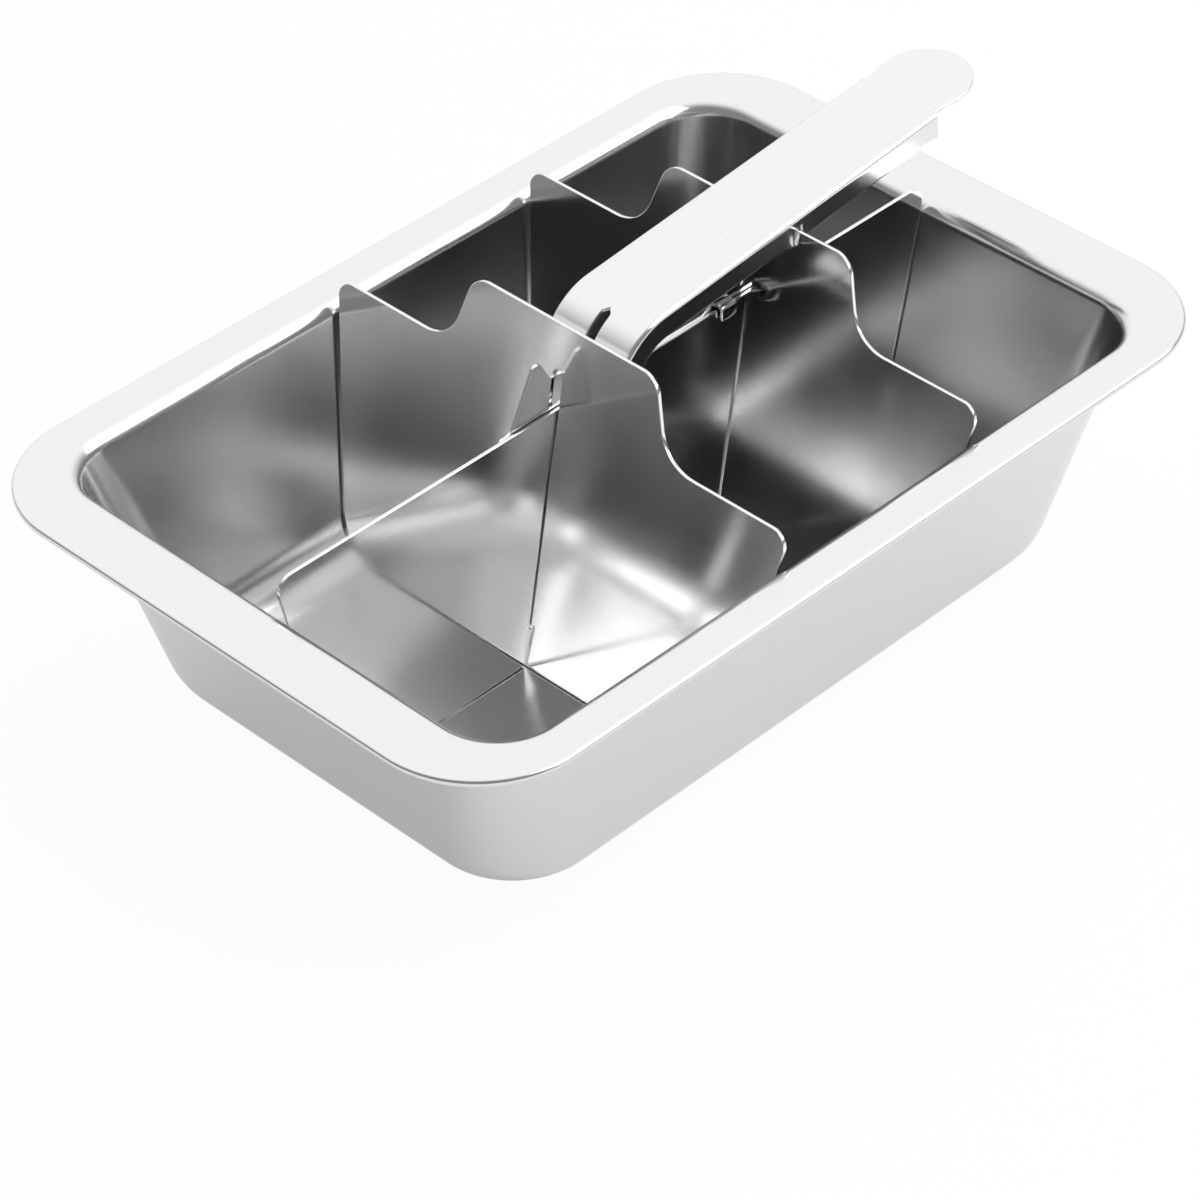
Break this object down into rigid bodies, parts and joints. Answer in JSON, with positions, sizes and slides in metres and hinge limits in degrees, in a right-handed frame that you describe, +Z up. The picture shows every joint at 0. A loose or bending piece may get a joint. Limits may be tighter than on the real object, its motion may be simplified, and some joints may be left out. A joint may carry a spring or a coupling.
{
  "type": "lever ice cube tray",
  "caption": "Steel ice tray with a rounded flat rim and a lift-out divider grid whose hooked lever tilts the cross blades to crack the ice free.",
  "frame": {"origin": "centre of the tray's flat underside, on the plane it stands on", "axes": "+Z up, +X along the tray toward the free end of the lever, +Y across the tray"},
  "size_m": [0.21, 0.141, 0.0847],
  "materials": {
    "pan_steel": "satin polished stainless steel",
    "divider_steel": "polished stainless steel sheet",
    "blade_steel": "polished stainless steel sheet",
    "lever_steel": "bright satin stainless steel",
    "pin_steel": "turned stainless steel"
  },
  "bodies": {
    "pan": {"tray_pan": "pan_steel"},
    "grid": {"divider_wall": "divider_steel", "cam_axle": "pin_steel", "cam_stud_right": "pin_steel", "cam_stud_left": "pin_steel"},
    "slide": {"slide_plate": "divider_steel"},
    "lever": {"release_lever": "lever_steel", "lever_pivot_pin": "pin_steel"},
    "front_blade": {"front_cross_blade": "blade_steel"},
    "rear_blade": {"rear_cross_blade": "blade_steel"}
  },
  "joints": [
    {"name": "grid_lift", "type": "slide", "parent": "pan", "child": "grid", "axis": [0, 0, 1], "range_m": [0, 0.075]},
    {"name": "plate_slide", "type": "slide", "parent": "grid", "child": "slide", "axis": [-1, 0, 0], "range_m": [0, 0.006]},
    {"name": "lever_lift", "type": "hinge", "parent": "slide", "child": "lever", "pos_m": [-0.0053, 0, 0.0603], "axis": [0, -1, 0], "range_deg": [0, 45]},
    {"name": "front_blade_tilt", "type": "hinge", "parent": "grid", "child": "front_blade", "pos_m": [-0.0255, 0, 0.00165], "axis": [0, -1, 0], "range_deg": [0, 5.2]},
    {"name": "rear_blade_tilt", "type": "hinge", "parent": "grid", "child": "rear_blade", "pos_m": [0.0283, 0, 0.00165], "axis": [0, -1, 0], "range_deg": [0, 5.2]}
  ],
  "couplings": [
    {"joint": "plate_slide", "follows": "lever_lift", "m_per_rad": 0.0076394},
    {"joint": "front_blade_tilt", "follows": "lever_lift", "ratio": 0.11556},
    {"joint": "rear_blade_tilt", "follows": "lever_lift", "ratio": 0.11556}
  ]
}
